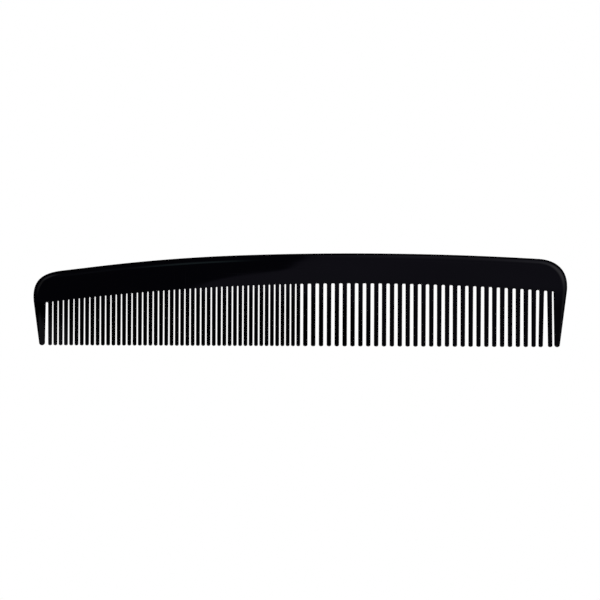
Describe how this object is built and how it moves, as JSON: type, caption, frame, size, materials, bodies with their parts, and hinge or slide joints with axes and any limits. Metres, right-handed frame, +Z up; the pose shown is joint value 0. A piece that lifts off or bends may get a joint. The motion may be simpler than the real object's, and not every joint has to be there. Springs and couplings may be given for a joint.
{
  "type": "hair comb",
  "caption": "Straight dressing comb in glossy black plastic: a gently arched spine with rounded ends, fine teeth on one half, coarse teeth on the other, and a broad guard at each end.",
  "frame": {"origin": "middle of the underside's bounding box, with the comb lying flat", "axes": "+X along the length from the fine end to the coarse end, +Y from the tips of the teeth to the back of the spine, +Z up through the thickness"},
  "size_m": [0.1782, 0.031, 0.0044],
  "materials": {
    "moulded_plastic": "polished black, slightly worn along the edges"
  },
  "bodies": {
    "root": {"coarse_end_guard": "moulded_plastic", "coarse_tooth_01": "moulded_plastic", "coarse_tooth_02": "moulded_plastic", "coarse_tooth_03": "moulded_plastic", "coarse_tooth_04": "moulded_plastic", "coarse_tooth_05": "moulded_plastic", "coarse_tooth_06": "moulded_plastic", "coarse_tooth_07": "moulded_plastic", "coarse_tooth_08": "moulded_plastic", "coarse_tooth_09": "moulded_plastic", "coarse_tooth_10": "moulded_plastic", "coarse_tooth_11": "moulded_plastic", "coarse_tooth_12": "moulded_plastic", "coarse_tooth_13": "moulded_plastic", "coarse_tooth_14": "moulded_plastic", "coarse_tooth_15": "moulded_plastic", "coarse_tooth_16": "moulded_plastic", "coarse_tooth_17": "moulded_plastic", "coarse_tooth_18": "moulded_plastic", "coarse_tooth_19": "moulded_plastic", "coarse_tooth_20": "moulded_plastic", "coarse_tooth_21": "moulded_plastic", "coarse_tooth_22": "moulded_plastic", "coarse_tooth_23": "moulded_plastic", "coarse_tooth_24": "moulded_plastic", "coarse_tooth_25": "moulded_plastic", "coarse_tooth_26": "moulded_plastic", "coarse_tooth_27": "moulded_plastic", "coarse_tooth_28": "moulded_plastic", "coarse_tooth_29": "moulded_plastic", "coarse_tooth_30": "moulded_plastic", "coarse_tooth_31": "moulded_plastic", "coarse_tooth_32": "moulded_plastic", "fine_end_guard": "moulded_plastic", "fine_tooth_pair_01": "moulded_plastic", "fine_tooth_pair_02": "moulded_plastic", "fine_tooth_pair_03": "moulded_plastic", "fine_tooth_pair_04": "moulded_plastic", "fine_tooth_pair_05": "moulded_plastic", "fine_tooth_pair_06": "moulded_plastic", "fine_tooth_pair_07": "moulded_plastic", "fine_tooth_pair_08": "moulded_plastic", "fine_tooth_pair_09": "moulded_plastic", "fine_tooth_pair_10": "moulded_plastic", "fine_tooth_pair_11": "moulded_plastic", "fine_tooth_pair_12": "moulded_plastic", "fine_tooth_pair_13": "moulded_plastic", "fine_tooth_pair_14": "moulded_plastic", "fine_tooth_pair_15": "moulded_plastic", "fine_tooth_pair_16": "moulded_plastic", "fine_tooth_pair_17": "moulded_plastic", "fine_tooth_pair_18": "moulded_plastic", "fine_tooth_pair_19": "moulded_plastic", "fine_tooth_pair_20": "moulded_plastic", "fine_tooth_pair_21": "moulded_plastic", "fine_tooth_pair_22": "moulded_plastic", "fine_tooth_pair_23": "moulded_plastic", "fine_tooth_pair_24": "moulded_plastic", "spine": "moulded_plastic"}
  },
  "joints": []
}
